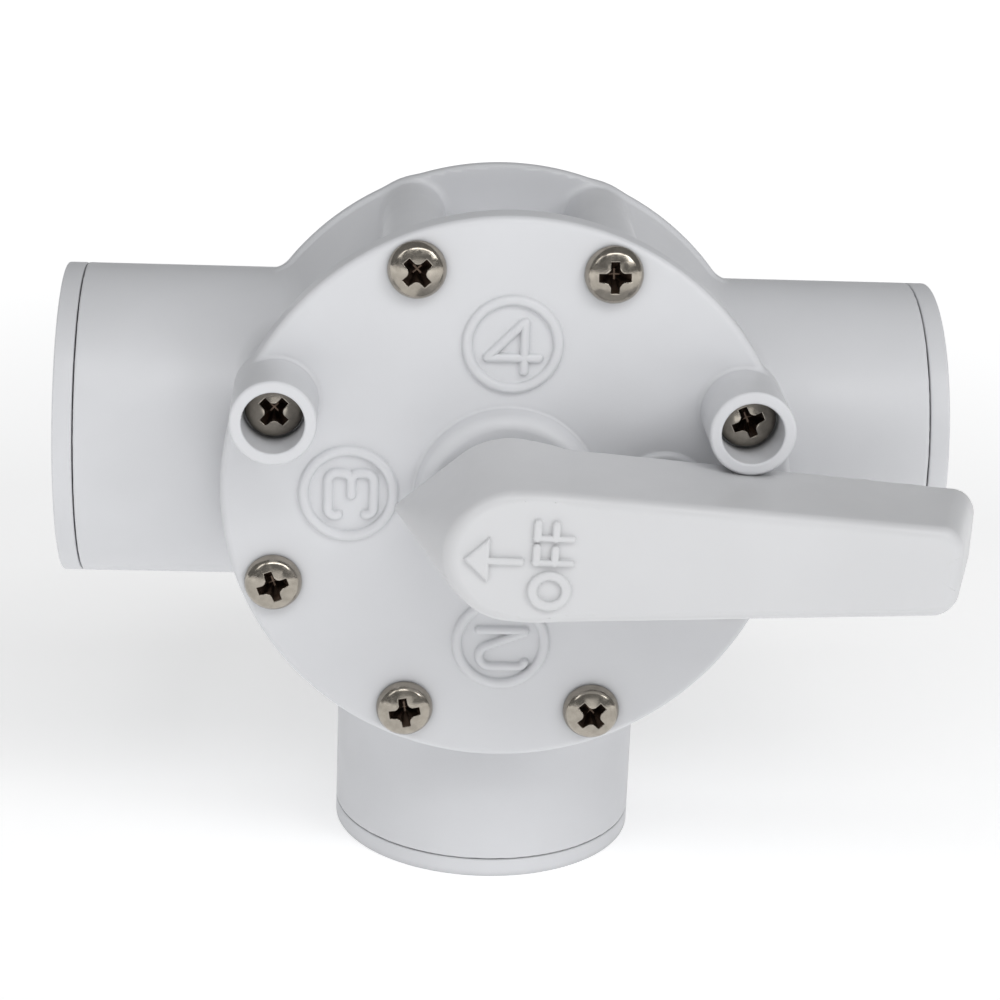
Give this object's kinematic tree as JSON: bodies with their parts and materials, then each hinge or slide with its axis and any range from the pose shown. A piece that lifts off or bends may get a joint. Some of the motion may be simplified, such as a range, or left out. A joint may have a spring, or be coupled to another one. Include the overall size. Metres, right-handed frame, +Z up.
{
  "type": "three way diverter valve",
  "caption": "Plastic three way diverter valve: round drum with pipe ports to both sides and below, screwed lid with numbered positions, and a lever handle with a pointer.",
  "frame": {"origin": "bottom centre of the bounding box, in the plane of the lower port's rim, on which the valve stands", "axes": "+X towards the right port, +Y towards the back face of the body and away from the handle, +Z up, with the third port pointing down"},
  "size_m": [0.204, 0.1336, 0.1655],
  "materials": {
    "body_plastic": "moulded white PVC, satin",
    "handle_plastic": "moulded white ABS, satin",
    "diverter_plastic": "moulded dark grey plastic",
    "seal_rubber": "black EPDM rubber",
    "washer_plastic": "smooth low friction plastic",
    "screw_steel": "stainless steel, polished head"
  },
  "bodies": {
    "housing": {"valve_body": "body_plastic", "lid": "body_plastic", "lid_o_ring": "seal_rubber", "reducer_left": "body_plastic", "reducer_right": "body_plastic", "reducer_lower": "body_plastic", "lid_screw_1": "screw_steel", "lid_screw_2": "screw_steel", "lid_screw_3": "screw_steel", "lid_screw_4": "screw_steel", "lid_screw_5": "screw_steel", "lid_screw_6": "screw_steel", "lid_screw_7": "screw_steel", "lid_screw_8": "screw_steel"},
    "rotor": {"handle": "handle_plastic", "diverter": "diverter_plastic", "diverter_seal": "seal_rubber", "stem_o_ring_lower": "seal_rubber", "stem_o_ring_upper": "seal_rubber", "thrust_washer": "washer_plastic"}
  },
  "joints": [
    {"name": "handle_turn", "type": "hinge", "parent": "housing", "child": "rotor", "pos_m": [0, 0.0248, 0.102], "axis": [0, 1, 0], "range_deg": [0, 178]}
  ]
}
